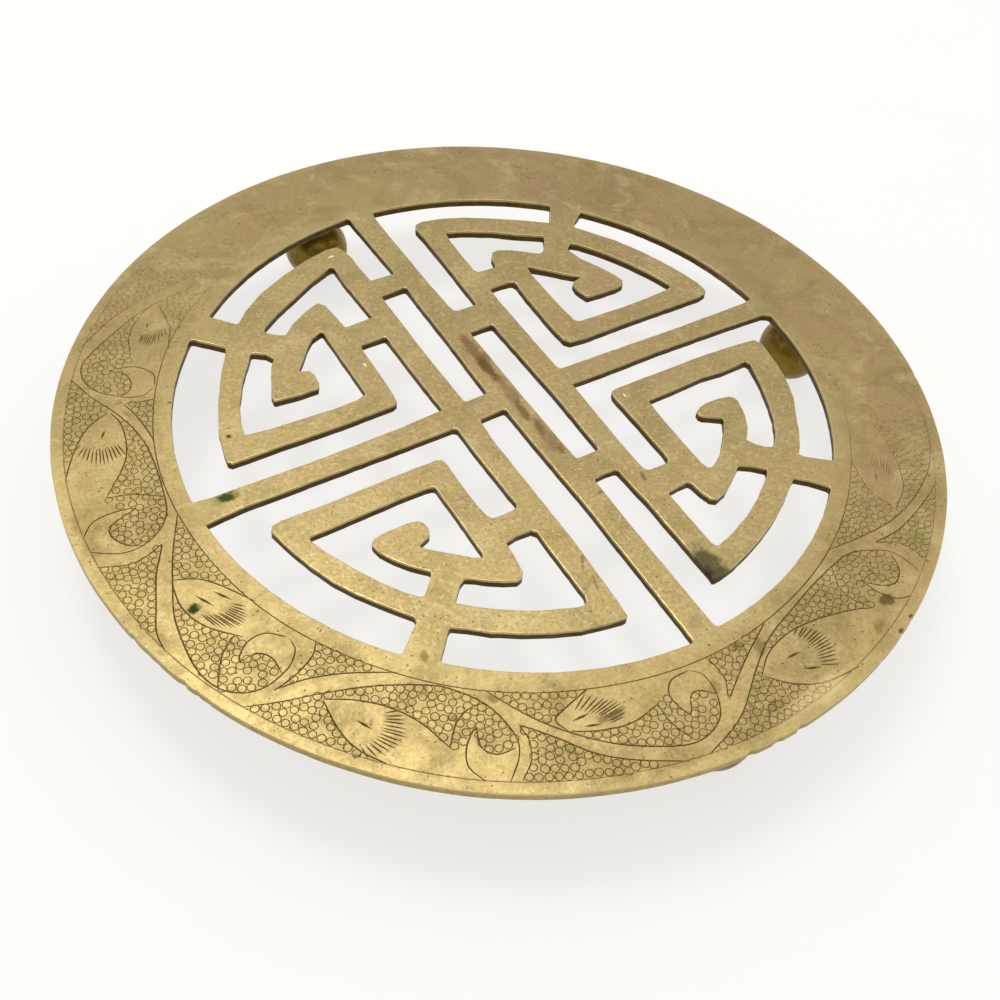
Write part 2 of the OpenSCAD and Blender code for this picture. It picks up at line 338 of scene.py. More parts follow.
# The part between the last two tips, read where it shows again on the rubbed side
SCROLL_WORN = {
    "tips": (105, 158.9),
    # Its first lines are those of the near repeat, squeezed to its span
    "lines": [[(round(105 + 0.9799 * (a + 141.7), 1), r) for a, r in line]
              for line in SCROLL_NEAR["lines"][:7]] + [
        [(128.4, .977), (129.6, .931), (129.3, .883), (128.4, .861), (132.6, .893), (137, .925),
         (141, .95), (146.5, .977)],
        [(124, .785), (129.5, .836), (134.3, .872), (138.4, .9), (141.5, .916), (145, .937),
         (148.5, .957), (150.5, .961), (152.5, .949), (154, .93), (155, .905), (155.6, .87),
         (155.9, .84), (155.4, .81), (153.4, .792)],
        [(134.3, .872), (137, .884), (140, .888), (143, .884), (145.2, .873), (147.5, .86)],
        [(134.3, .872), (135.5, .853), (137, .832), (138.5, .813), (140, .802), (142, .795),
         (144.5, .785)],
        [(147.5, .86), (147.9, .885), (148.2, .907), (148.8, .93), (149.9, .945)],
        [(153.4, .792), (150.6, .8), (149.3, .84), (149.7, .87), (150.5, .896), (150.9, .868),
         (151.8, .851), (153.4, .842), (155, .848), (155.9, .868)],
    ],
    "strokes": [
        [(139, .862), (140.6, .856)],
        [(141.6, .859), (143.9, .855)],
    ],
    "fans": [
        [(111.4, .955), (112.8, .966), (112.4, .877), (114.3, .873), 14],
        [(138.8, .817), (140.3, .803), (141.4, .851), (144, .853), 11],
    ],
    "fences": [[(120.7, .919), (122.5, .913)], [(147.5, .86), (149.5, .86)]],
    "ground": [(107.8, .96), (119.4, .83), (125.3, .87), (131.7, .94), (130.5, .8), (144, .905),
               (152.5, .9), (101.3, .8)],
}
# Where each repeat starts round the rim, and which reading it is cut from
REPEATS = [(158.9, SCROLL_LEFT), (218.3, SCROLL_NEAR), (274.9, SCROLL_RIGHT), (353.8, SCROLL_NEAR),
           (409.5, SCROLL_LEFT), (465, SCROLL_WORN)]
STARTS = [start for start, _ in REPEATS]
REPEAT_SPANS = {a: b - a for a, b in zip(STARTS, STARTS[1:] + [STARTS[0] + 360])}
# Nicks in the rim: place in degrees, and depth in millimetres
NICKS = [(-164.4, .22), (-161.8, .1), (-160.2, .12), (-156.1, .3), (-154, .2), (-152.7, .12),
         (-140.5, .08), (-120, .06), (-92.3, .4), (-88.7, .3), (-85.4, .35), (-71, .1), (-66.4, .4),
         (-63.9, .45), (-20, .12), (44, .1), (97, .12), (150, .1)]


def at_angle(a, r):
    return Vector((r * math.cos(a), r * math.sin(a)))


def towards(a):
    """A step of length 1 at an angle."""
    return Vector((math.cos(a), math.sin(a)))


def any_way(rng):
    """A small step by hand, up to 1 each way."""
    return Vector((rng.uniform(-1, 1), rng.uniform(-1, 1)))


def signed_area(loop):
    return sum(p.x * q.y - q.x * p.y for p, q in zip(loop, loop[1:] + loop[:1]))


def round_edge(start, end, step):
    """Points of the edge that turns round the middle from start to end, both left out."""
    a, b = math.atan2(start[1], start[0]), math.atan2(end[1], end[0])
    turn = (b - a + math.pi) % FULL_TURN - math.pi
    ra, rb = math.hypot(*start), math.hypot(*end)
    count = max(2, int(abs(turn) * ra / step))
    out = []
    for i in range(1, count):
        t = i / count
        r = ra + (rb - ra) * t
        out.append((r * math.cos(a + turn * t), r * math.sin(a + turn * t)))
    return out


def sawn_corner(before, here, after):
    """One corner of an opening, rounded where the saw was turned."""
    to_a, to_b = before - here, after - here
    bend = math.pi - to_a.angle(to_b)
    if bend < STRAIGHT_BEND:
        return [here]
    cut = min(SAWN_CORNER / math.tan((math.pi - bend) / 2 + 1e-3),
              CORNER_SHARE * to_a.length, CORNER_SHARE * to_b.length)
    a, b = here + to_a.normalized() * cut, here + to_b.normalized() * cut
    return [a * (1 - t) ** 2 + here * 2 * t * (1 - t) + b * t ** 2
            for t in (0, 0.34, 0.66, 1)]


def opening_outline(points):
    """One opening with its saw-turned corners, as an even run of points."""
    raw = []
    for point, following in zip(points, points[1:] + points[:1]):
        here, there = ((p[0] * FRET_R, p[1] * FRET_R) for p in (point, following))
        raw.append(here)
        if len(point) > 2:
            raw += round_edge(here, there, 2 * SAW_STEP)
    corners = []
    for i, p in enumerate(raw):
        corners += sawn_corner(Vector(raw[i - 1]), Vector(p), Vector(raw[(i + 1) % len(raw)]))
    out = []
    for p, q in zip(corners, corners[1:] + corners[:1]):
        count = max(1, round((q - p).length / SAW_STEP))
        out += [p + (q - p) * k / count for k in range(count)]
    rng = random.Random(len(points))
    return [p + any_way(rng) * SAW_WANDER for p in out]


def rim_outline():
    """The sheet's edge: a filed circle with the nicks of use."""
    rng = random.Random(7)
    phases = [rng.uniform(0, 6.28) for _ in RIM_WAVES]
    out = []
    for i in range(RIM_STEPS):
        a = FULL_TURN * i / RIM_STEPS
        wave = 1.2
        for (count, share), phase in zip(RIM_WAVES, phases):
            wave += share * math.sin(count * a + phase)
        r = PLATE_R - RIM_WAVE * wave / 2
        for place, depth in NICKS:
            off = (math.degrees(a) - place + 180) % 360 - 180
            r -= depth * MM * max(0, 1 - (off / NICK_HALF) ** 2)
        out.append(at_angle(a, r))
    return out


def moved_sideways(loop, distance, into):
    """The loop moved along its own normals, into the metal, less where it would cross."""
    side = (1 if signed_area(loop) > 0 else -1) * into
    count = len(loop)
    normals = []
    for i in range(count):
        along = loop[(i + 1) % count] - loop[i - 1]
        normals.append(Vector((-along.y, along.x)).normalized() * side)
    reach = [distance] * count
    while True:
        out = [p + n * d for p, n, d in zip(loop, normals, reach)]
        crossed = [i for i in range(count)
                   if (out[i] - out[i - 1]).dot(loop[i] - loop[i - 1])
                   < 0.1 * (loop[i] - loop[i - 1]).length_squared]
        if not crossed:
            return out
        for i in {k for i in crossed for k in (i, i - 1)}:
            reach[i] *= 0.8


def curve_through(points, step):
    """Smooth curve through given points, at an even step."""
    if len(points) == 2:
        a, b = points
        count = max(2, int((b - a).length / step))
        return [a.lerp(b, i / count) for i in range(count + 1)]
    ends = [points[0] * 2 - points[1]] + points + [points[-1] * 2 - points[-2]]
    out = []
    for a, b, c, d in zip(ends, ends[1:], ends[2:], ends[3:]):
        count = max(2, int((c - b).length / step))
        for i in range(count):
            t = i / count
            out.append(0.5 * ((2 * b) + (c - a) * t + (2 * a - 5 * b + 4 * c - d) * t * t
                              + (3 * b - a - 3 * c + d) * t ** 3))
    out.append(points[-1])
    return out


def on_rim(place, start, reading, wander=(0, 0)):
    """Place on the sheet of a point of one reading of the scroll, in the repeat at start."""
    low, high = reading["tips"]
    share = (place[0] - low) / (high - low)
    a = math.radians(start + share * REPEAT_SPANS[start] + wander[0])
    return towards(a) * (place[1] + wander[1]) * PLATE_R


def crispness(p):
    """1 where the engraving is sharp, less where hands and pots have rubbed it."""
    angle = math.atan2(p.y, p.x)
    t = min(1, max(0, math.cos(angle - CRISP_SIDE) + 0.58))
    faint = 0.09 + 0.05 * math.sin(7 * angle + 1)
    return faint + (1 - faint) * t * t * (3 - 2 * t)


def fan_cuts(fan):
    """Hatch cuts that spread like the ribs of a shell from the first to the last."""
    first_in, first_out, last_in, last_out, count = fan
    cuts = []
    for i in range(count):
        t = i / (count - 1)
        bulge = math.sin(math.pi * t)
        a0 = first_in[0] + (last_in[0] - first_in[0]) * t + 0.8 * bulge
        r0 = first_in[1] + (last_in[1] - first_in[1]) * t
        a1 = first_out[0] + (last_out[0] - first_out[0]) * t + 2.1 * bulge
        r1 = first_out[1] + (last_out[1] - first_out[1]) * (1.24 * t - 0.12)
        cuts.append([(a0, r0), (a1, r1)])
    return cuts


def graver_cut(points, rng, half, depth, taper, step=CUT_STEP):
    """One cut through points: each point with the cut's half width and depth there."""
    line = curve_through(points, step)
    for i, p in enumerate(line):
        t = i / (len(line) - 1)
        ends = min(1, (t + 0.08) / taper, (1.08 - t) / taper)
        keep = crispness(p)
        belly = 0.84 + 0.34 * math.sin(math.pi * t)
        width = half * belly * (0.75 + 0.25 * keep) * max(0.35, ends)
        line[i] = (p, width * rng.uniform(0.92, 1.08),
                   depth * keep ** RUBBED_DEPTH * max(0.3, ends))
    return line


def border_line(radius, force, phase):
    """One scribed line all the way round, a little out of true."""
    line = []
    for i in range(BORDER_STEPS + 1):
        a = FULL_TURN * i / BORDER_STEPS
        r = radius + 0.14 * MM * math.sin(3 * a + phase) + 0.08 * MM * math.sin(11 * a)
        p = at_angle(a, r)
        line.append((p, LINE_HALF * 0.85, LINE_DEPTH * force * crispness(p) ** RUBBED_DEPTH))
    return line


def engraved_cuts():
    """Every cut of the graver, and the two border lines."""
    rng = random.Random(21)
    cuts = []
    for start, reading in REPEATS:
        for line in reading["lines"]:
            wander = (rng.uniform(-0.1, 0.1), rng.uniform(-0.001, 0.001))
            cuts.append(graver_cut([on_rim(p, start, reading, wander) for p in line],
                                   rng, LINE_HALF, LINE_DEPTH, 0.12))
        for stroke in reading["strokes"]:
            cuts.append(graver_cut([on_rim(p, start, reading) for p in stroke],
                                   rng, STROKE_HALF, LINE_DEPTH * 1.3, 0.5, STROKE_STEP))
        for hatch in (cut for fan in reading["fans"] for cut in fan_cuts(fan)):
            wander = (rng.uniform(-0.12, 0.12), rng.uniform(-0.001, 0.001))
            cuts.append(graver_cut([on_rim(p, start, reading, wander) for p in hatch],
                                   rng, HATCH_HALF, LINE_DEPTH, 0.35))
    for radius, force in ((BORDER_IN, 0.8), (BORDER_OUT, 0.4)):
        cuts.append(border_line(radius, force, rng.uniform(0, 6)))
    return cuts


def punched_fields(cuts):
    """Squares of the unrolled rim that lie in a punched field."""
    mid_r = (BORDER_IN + BORDER_OUT) / 2
    wide = int(FULL_TURN * mid_r / FIELD_STEP)
    tall = int((BORDER_OUT - BORDER_IN) / FIELD_STEP) + 3
    wall = np.zeros((wide, tall), bool)

    def square(p):
        a = math.atan2(p.y, p.x) % FULL_TURN
        return int(a / FULL_TURN * wide) % wide, round((p.length - BORDER_IN) / FIELD_STEP) + 1

    def close_off(p, q):
        count = max(1, int((q - p).length / (0.4 * FIELD_STEP)))
        for k in range(count + 1):
            x, y = square(p.lerp(q, k / count))
            if 0 <= y < tall:
                wall[x, y] = True

    for line in cuts:
        for (p, _, _), (q, _, _) in zip(line, line[1:]):
            close_off(p, q)
    wall[:, 0] = wall[:, -1] = True
    for start, reading in REPEATS:
        for fence in reading["fences"]:
            close_off(*(on_rim(place, start, reading) for place in fence))
    field = np.zeros_like(wall)
    todo = [square(on_rim(place, start, reading))
            for start, reading in REPEATS for place in reading["ground"]]
    while todo:
        x, y = todo.pop()
        if 0 < y < tall - 1 and not wall[x, y] and not field[x, y]:
            field[x, y] = True
            todo += [((x + 1) % wide, y), ((x - 1) % wide, y), (x, y + 1), (x, y - 1)]
    return field


def tree_of(places):
    """Places held so that those near a point are found fast."""
    tree = kdtree.KDTree(len(places))
    for i, (x, y) in enumerate(places):
        tree.insert((x, y, 0), i)
    tree.balance()
    return tree


def punch_marks(cuts):
    """Middles of the ring punches, packed into the fields as a hand sets them."""
    field = punched_fields(cuts)
    tree = tree_of([(p.x, p.y) for line in cuts for p, _, _ in line])
    # The punch followed the lines first and then filled the field, row by row
    places = []
    for x, y in zip(*np.nonzero(field)):
        a = FULL_TURN * (x + 0.5) / len(field)
        p = towards(a) * (BORDER_IN + (y - 1) * FIELD_STEP)
        gap = tree.find((p.x, p.y, 0))[2]
        if gap > PUNCH_FROM_LINE:
            places.append((round(gap / PUNCH_ROW), x, y, p))
    rng = random.Random(5)
    marks = []
    taken = {}
    for _, _, _, p in sorted(places, key=lambda place: place[:3]):
        cell = (int(p.x // PUNCH_PITCH), int(p.y // PUNCH_PITCH))
        near = [q for i in (-1, 0, 1) for j in (-1, 0, 1)
                for q in taken.get((cell[0] + i, cell[1] + j), ())]
        if all((p - q).length > PUNCH_PITCH * rng.uniform(0.90, 1.0) for q in near):
            taken.setdefault(cell, []).append(p)
            marks.append(p + any_way(rng) * 0.05 * MM)
    return marks


class Sheet:
    """Points and edges laid on a face, in millimetres, before it is cut into triangles."""

    def __init__(self):
        self.points = []
        self.edges = []
        self.drops = {}
        self.worn = {}
        self.cut_ends = set()

    def add_run(self, points, closed):
        first = len(self.points)
        self.points += [Vector((p.x, p.y)) / MM for p in points]
        ids = list(range(first, len(self.points)))
        self.edges += list(zip(ids, ids[1:]))
        if closed:
            self.edges.append((ids[-1], ids[0]))
        return ids


def lay_outlines(sheet):
    """The rim and the openings, each with the lines of its rubbed bevel."""
    rims = []
    for outline in [rim_outline()] + [opening_outline(p) for p in OPENINGS.values()]:
        into = -1 if rims else 1
        rims.append(None)
        for inset, drop, bright in BEVEL:
            line = moved_sideways(outline, inset * MM, into) if inset else outline
            ids = sheet.add_run(line, True)
            rims[-1] = rims[-1] or ids
            for k in ids:
                sheet.drops[k] = drop * MM
                sheet.worn[k] = bright
    return rims


def lay_cut(sheet, line):
    """A V-shaped cut: its bottom line and its two upper edges."""
    middle = [p for p, _, _ in line]
    closed = (middle[0] - middle[-1]).length < 0.01 * MM
    if closed:
        line = line[:-1]
        middle = middle[:-1]
    left, right = [], []
    for i, (p, half, _) in enumerate(line):
        after = middle[(i + 1) % len(line)] if closed or i + 1 < len(line) else p
        before = middle[i - 1] if closed or i else p
        along = (after - before).normalized()
        side = Vector((-along.y, along.x)) * half
        left.append(p + side)
        right.append(p - side)
    bottom, one, other = (sheet.add_run(run, closed) for run in (middle, left, right))
    if not closed:
        sheet.cut_ends |= {bottom[0], bottom[-1]}
        sheet.edges += [(one[0], other[0]), (one[-1], other[-1])]


def lay_punch(sheet, p, rng):
    """The three circles of one ring punch; gives samples of its groove."""
    keep = crispness(p)
    turn = rng.uniform(0, 6.28)
    size = rng.uniform(0.94, 1.05)
    half = PUNCH_HALF * (0.8 + 0.2 * keep)
    lean = any_way(rng) * 0.04 * MM
    circles = []
    for radius in (PUNCH_R - half, PUNCH_R, PUNCH_R + half):
        circles.append([p + lean + towards(turn + FULL_TURN * i / PUNCH_SIDES) * radius * size
                        for i in range(PUNCH_SIDES)])
        sheet.add_run(circles[-1], True)
    middle = circles[1]
    return [(a.lerp(b, t), half, PUNCH_DEPTH * keep ** RUBBED_DEPTH * rng.uniform(0.7, 1))
            for a, b in zip(middle, middle[1:] + middle[:1]) for t in (0, 0.25, 0.5, 0.75)]


def lay_engraving(sheet):
    """All cuts and punches; gives samples of their grooves, and the first punch's point."""
    cuts = engraved_cuts()
    samples = []
    for line in cuts:
        lay_cut(sheet, line)
        for (p, half, depth), (q, next_half, next_depth) in zip(line, line[1:]):
            count = max(1, int((q - p).length / GROOVE_STEP))
            samples += [(p.lerp(q, k / count), half + (next_half - half) * k / count,
                         depth + (next_depth - depth) * k / count) for k in range(count)]
        samples.append(line[-1])
    first_mark = len(sheet.points)
    rng = random.Random(9)
    for p in punch_marks(cuts):
        samples += lay_punch(sheet, p, rng)
    return samples, first_mark


def inside(points, loop):
    """Which of many points lie inside one closed loop."""
    x, y = points[:, 0], points[:, 1]
    hit = np.zeros(len(points), bool)
    near = (x > loop[:, 0].min()) & (x < loop[:, 0].max())
    near &= (y > loop[:, 1].min()) & (y < loop[:, 1].max())
    x, y = x[near], y[near]
    odd = np.zeros(len(x), bool)
    for (x0, y0), (x1, y1) in zip(loop, np.roll(loop, -1, 0)):
        if y0 != y1:
            crosses = (y0 > y) != (y1 > y)
            odd ^= crosses & (x < (x1 - x0) * (y - y0) / (y1 - y0) + x0)
    hit[near] = odd
    return hit


def triangles_of(sheet, outer, holes):
    """Triangles between the outer loop and the holes, and where each point went."""
    out, _, faces, origin, _, _ = delaunay_2d_cdt(sheet.points, sheet.edges, [], 0, 1e-5, True)
    where = {old: new for new, olds in enumerate(origin) for old in olds}
    at = np.array([(v.x, v.y) for v in out])
    tri = np.array([f for f in faces if len(f) == 3])
    centres = at[tri].mean(1)
    keep = inside(centres, at[[where[i] for i in outer]])
    for hole in holes:
        keep &= ~inside(centres, at[[where[i] for i in hole]])
    tri = tri[keep]
    a, b, c = (at[tri[:, k]] for k in range(3))
    area = (b[:, 0] - a[:, 0]) * (c[:, 1] - a[:, 1]) - (b[:, 1] - a[:, 1]) * (c[:, 0] - a[:, 0])
    tri[area < 0] = tri[area < 0][:, ::-1]
    return at, tri[abs(area) > 1e-9], where


def carved(at, samples):
    """How far the grooves lower each point of the face, and how deep in a cut it lies."""
    tree = tree_of([(p.x / MM, p.y / MM) for p, _, _ in samples])
    reach = 1.3 * STROKE_HALF / MM
    rise, cut = np.zeros(len(at)), np.zeros(len(at))
    for i, (x, y) in enumerate(at):
        if not BORDER_IN * 0.99 < math.hypot(x, y) * MM < BORDER_OUT * 1.01:
            continue
        for _, k, gap in tree.find_range((x, y, 0), reach):
            _, half, depth = samples[k]
            share = 1 - gap * MM / half
            if share > 0.09:
                rise[i] = min(rise[i], -depth * share)
                cut[i] = max(cut[i], share * (depth / LINE_DEPTH) ** 0.6)
    return rise, cut


def sawn_walls(verts, at, where, rims, under):
    """Faces down every sawn edge. Their rows join verts, and their lowest run is laid on
    the underside, where a face names its points as pairs until they have their numbers."""
    faces, under_rims = [], []
    rng = random.Random(3)
    for i, ids in enumerate(rims):
        loop = [Vector(at[where[k]]) * MM for k in ids]
        into = 1 if i == 0 else -1
        flip = (i == 0) == (signed_area(loop) > 0)
        rows = [[where[k] for k in ids]]
        for share, hollow in WALL_ROWS:
            z = TOP_Z - share * (TOP_Z - UNDER_Z)
            ring = moved_sideways(loop, hollow * MM * rng.uniform(0.5, 2), into)
            rows.append(list(range(len(verts), len(verts) + len(ring))))
            verts += [(p.x, p.y, z) for p in ring]
        under_rims.append(under.add_run(moved_sideways(loop, UNDER_CHAMFER, into), True))
        rows.append([("under", k) for k in under_rims[-1]])
        for upper, lower in zip(rows, rows[1:]):
            for j in range(len(upper)):
                k = (j + 1) % len(upper)
                face = (upper[j], lower[j], lower[k], upper[k])
                faces.append(face if flip else face[::-1])
    return faces, under_rims


def close_slits(mesh):
    """Close the hair-thin gaps that triangles leave in the fret's tightest corners."""
    work = bmesh.new()
    work.from_mesh(mesh)
    torn = [v for v in work.verts if any(not e.is_manifold for e in v.link_edges)]
    bmesh.ops.remove_doubles(work, verts=torn, dist=0.02 * MM)
    torn = [e for e in work.edges if e.is_boundary]
    filled = bmesh.ops.holes_fill(work, edges=torn, sides=0)["faces"]
    bmesh.ops.triangulate(work, faces=filled)
    loose = [v for v in work.verts if not v.link_faces]
    bmesh.ops.delete(work, geom=loose, context="VERTS")
    work.to_mesh(mesh)
    work.free()


def make_plate():
    """The pierced and engraved sheet, as one closed mesh."""
    sheet, under = Sheet(), Sheet()
    rims = lay_outlines(sheet)
    samples, first_mark = lay_engraving(sheet)
    at, tri, where = triangles_of(sheet, rims[0], rims[1:])
    rise, cut = carved(at, samples)
    worn, ground = np.zeros(len(at)), np.zeros(len(at))
    for k, new in where.items():
        if k in sheet.cut_ends:
            rise[new] = cut[new] = 0
        if k in sheet.drops:
            rise[new] = -sheet.drops[k]
            worn[new] = sheet.worn[k]
        if k >= first_mark:
            ground[new] = crispness(Vector(at[new]))
    verts = [(x * MM, y * MM, TOP_Z + z) for (x, y), z in zip(at, rise)]
    walls, under_rims = sawn_walls(verts, at, where, rims, under)
    at_low, tri_low, where_low = triangles_of(under, under_rims[0], under_rims[1:])
    base = len(verts)
    verts += [(x * MM, y * MM, UNDER_Z) for x, y in at_low]
    faces = [tuple(int(k) for k in f) for f in tri]
    faces += [tuple(base + where_low[k[1]] if isinstance(k, tuple) else k for k in f)
              for f in walls]
    faces += [tuple(base + int(k) for k in f[::-1]) for f in tri_low]
    mesh = bpy.data.meshes.new("engraved_plate")
    mesh.from_pydata(verts, [], faces)
    mesh.set_sharp_from_angle(angle=math.radians(35))
    # What the tools left flat is shaded flat, so only cuts, edges and walls turn the light
    smooth = np.ones(len(faces), bool)
    smooth[:len(tri)] = (rise[tri] < 0).any(1)
    smooth[len(faces) - len(tri_low):] = False
    mesh.polygons.foreach_set("use_smooth", smooth)
    rest = np.zeros(len(verts) - len(at))
    for name, values in (("cut", cut), ("worn", worn), ("ground", ground)):
        field = mesh.attributes.new(name, "FLOAT", "POINT")
        field.data.foreach_set("value", np.concatenate([values, rest]).astype(np.float32))
    mesh.validate()
    close_slits(mesh)
    return link_object("engraved_plate", mesh)


def link_object(name, data):
    thing = bpy.data.objects.new(name, data)
    bpy.context.scene.collection.objects.link(thing)
    return thing


def smooth_piece(name, verts, faces, sharp):
    """A piece shaded smooth, but for edges that turn by more than sharp degrees."""
    mesh = bpy.data.meshes.new(name)
    mesh.from_pydata(verts, [], faces)
    mesh.validate()
    mesh.shade_smooth()
    mesh.set_sharp_from_angle(angle=math.radians(sharp))
    return link_object(name, mesh)


def lathe(name, profile, middle, steps):
    """A closed turned solid: the profile runs from the axis round to the axis."""
    verts, faces = [], []
    for r, z in profile[1:-1]:
        for i in range(steps):
            a = FULL_TURN * i / steps
            verts.append((middle.x + r * math.cos(a), middle.y + r * math.sin(a), z))
    rows = len(profile) - 2
    for row in range(rows - 1):
        for i in range(steps):
            k = (i + 1) % steps
            faces.append((row * steps + i, row * steps + k,
                          (row + 1) * steps + k, (row + 1) * steps + i))
    for end, row in ((0, 0), (-1, rows - 1)):
        verts.append((middle.x, middle.y, profile[end][1]))
        tip = len(verts) - 1
        for i in range(steps):
            face = (row * steps + (i + 1) % steps, row * steps + i, tip)
            faces.append(face if end == 0 else face[::-1])
    return smooth_piece(name, verts, faces, 38)


def foot_profile():
    """Ball, cove, neck and flange, with the light rings that the turning tool left."""
    ball_z = math.sqrt(BALL_R ** 2 - PAD_R ** 2)
    low = -math.asin(ball_z / BALL_R)
    cove_x = NECK_R + COVE_R
    high = math.acos(cove_x / (BALL_R + COVE_R))
    profile = [(0, 0.0001 * MM), (PAD_R * 0.6, 0), (PAD_R * 0.97, 0.02 * MM)]
    for i in range(1, BALL_ROWS + 1):
        a = low + (high - low) * i / BALL_ROWS
        ring = TOOL_RING * math.sin(i * 2.4) if 3 < i < BALL_ROWS - 2 else 0
        profile.append(((BALL_R + ring) * math.cos(a), ball_z + (BALL_R + ring) * math.sin(a)))
    cove_z = ball_z + (BALL_R + COVE_R) * math.sin(high)
    for i in range(1, COVE_ROWS + 1):
        a = math.pi + high + (0 - high) * i / COVE_ROWS
        profile.append((cove_x + COVE_R * math.cos(a), cove_z + COVE_R * math.sin(a)))
    neck_top = UNDER_Z - FLANGE_T
    profile += [(NECK_R, neck_top - SOFT_EDGE), (NECK_R + SOFT_EDGE, neck_top),
                (FLANGE_R - SOFT_EDGE, neck_top), (FLANGE_R, neck_top + SOFT_EDGE),
                (FLANGE_R, UNDER_Z - 0.02 * MM), (FLANGE_R - SOFT_EDGE, UNDER_Z), (0, UNDER_Z)]
    return profile


def make_foot(node):
    low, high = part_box(node)
    return lathe("turned_" + node, foot_profile(), (low + high) / 2, TURNED_STEPS)


def make_solder(node, seed):
    """Run of soft solder round a flange, uneven as it froze."""
    low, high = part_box(node)
    middle = (low + high) / 2
    reach = (high.x - low.x) / 2
    rng = random.Random(seed)
    waves = [(k, rng.uniform(0, 6.28), rng.uniform(0.3, 1)) for k in (2, 3, 5, 9)]
    rows = 9
    verts, faces = [], []
    for i in range(TURNED_STEPS):
        a = FULL_TURN * i / TURNED_STEPS
        lump = sum(w * math.sin(k * a + p) for k, p, w in waves) / 2.6
        out = reach - FLANGE_R - (0.12 + 0.1 * lump) * MM
        rise = (high.z - low.z) * (0.86 - 0.12 * lump)
        section = []
        for j in range(rows):
            t = j / (rows - 1)
            belly = 0.07 * MM * math.sin(math.pi * t) * (1 + 0.5 * math.sin(7 * a + seed))
            section.append((FLANGE_R + out * (1 - t) ** 1.6 + belly * 0.4,
                            high.z - rise * t ** 1.6 - belly * 0.2))
        section.append((FLANGE_R * 0.985, high.z))
        verts += [(middle.x + r * math.cos(a), middle.y + r * math.sin(a), z)
                  for r, z in section]
    row_len = rows + 1
    for i in range(TURNED_STEPS):
        k = (i + 1) % TURNED_STEPS
        for j in range(row_len):
            m = (j + 1) % row_len
            faces.append((i * row_len + j, i * row_len + m, k * row_len + m, k * row_len + j))
    return smooth_piece("run_" + node, verts, faces, 50)


# Node trees

def srgb(r, g, b):
    """A colour written as it shows on a screen, 0 to 255."""
    return (*(((c / 255 + 0.055) / 1.055) ** 2.4 if c > 10 else c / 3294 for c in (r, g, b)), 1)


class Nodes:
    """A node tree with short ways to add to it. Values may be sockets or constants."""

    def __init__(self, tree):
        self.tree = tree

    def wire(self, value, socket):
        if isinstance(value, bpy.types.NodeSocket):
            self.tree.links.new(value, socket)
        else:
            socket.default_value = value

    def add(self, kind, inputs=(), **settings):
        """A node with its settings; inputs go by name or number."""
        node = self.tree.nodes.new("ShaderNode" + kind)
        for key, value in settings.items():
            setattr(node, key, value)
        for key, value in dict(inputs).items():
            self.wire(value, node.inputs[key])
        return node

    def maths(self, operation, *values, clamp=False):
        node = self.add("Math", enumerate(values), operation=operation, use_clamp=clamp)
        return node.outputs[0]

    def times(self, a, b):
        return self.maths("MULTIPLY", a, b)

    def plus(self, a, b):
        return self.maths("ADD", a, b)

    def minus(self, a, b, clamp=False):
        return self.maths("SUBTRACT", a, b, clamp=clamp)

    def vectors(self, operation, *values):
        return self.add("VectorMath", enumerate(values), operation=operation).outputs[0]

    def distance(self, vector):
        return self.add("VectorMath", {0: vector}, operation="LENGTH").outputs["Value"]

    def turned(self, vector, angle):
        inputs = {"Vector": vector, "Angle": angle}
        return self.add("VectorRotate", inputs, rotation_type="Z_AXIS").outputs[0]

    def parts_of(self, vector):
        return list(self.add("SeparateXYZ", {0: vector}).outputs)

    def ramped(self, value, low, high, kind="SMOOTHSTEP"):
        """Value taken from low..high to 0..1."""
        inputs = {"Value": value, "From Min": low, "From Max": high}
        return self.add("MapRange", inputs, interpolation_type=kind).outputs[0]

    def noise(self, place, scale, detail, rough=0.5, warp=0, output="Fac"):
        inputs = {"Vector": place, "Scale": scale, "Detail": detail,
                  "Roughness": rough, "Distortion": warp}
        return self.add("TexNoise", inputs).outputs[output]

    def mixed(self, share, a, b):
        """Colour a with a share of colour b."""
        node = self.add("Mix", {"Factor": share}, data_type="RGBA")
        for name, value in (("A", a), ("B", b)):
            self.wire(value, next(s for s in node.inputs if (s.name, s.type) == (name, "RGBA")))
        return next(s for s in node.outputs if s.type == "RGBA")

    def tinted(self, colour, mask, share, tint):
        return self.mixed(self.times(mask, share), colour, srgb(*tint))

    def attribute(self, name):
        return self.add("Attribute", attribute_name=name).outputs["Fac"]

    def placed(self, kind, place, **values):
        """The outputs of one of the shared groups, used with its own values."""
        return list(self.add("Group", {"Place": place, **values}, node_tree=GROUPS[kind]).outputs)

    def relief(self, *layers):
        """Normal over layers of relief: height, its depth in millimetres, and strength."""
        normal = None
        for height, depth, strength in layers:
            node = self.add("Bump", {"Height": height, "Distance": depth * MM,
                                     "Strength": strength})
            if normal is not None:
                self.wire(normal, node.inputs["Normal"])
            normal = node.outputs[0]
        return normal

    def seen_plain(self):
        """1 where the camera, or what mirrors or lets through its view, meets the backdrop."""
        ray = self.add("LightPath").outputs
        seen = self.maths("MAXIMUM", ray["Is Camera Ray"], ray["Is Glossy Ray"])
        return self.maths("MAXIMUM", seen, ray["Is Transmission Ray"])


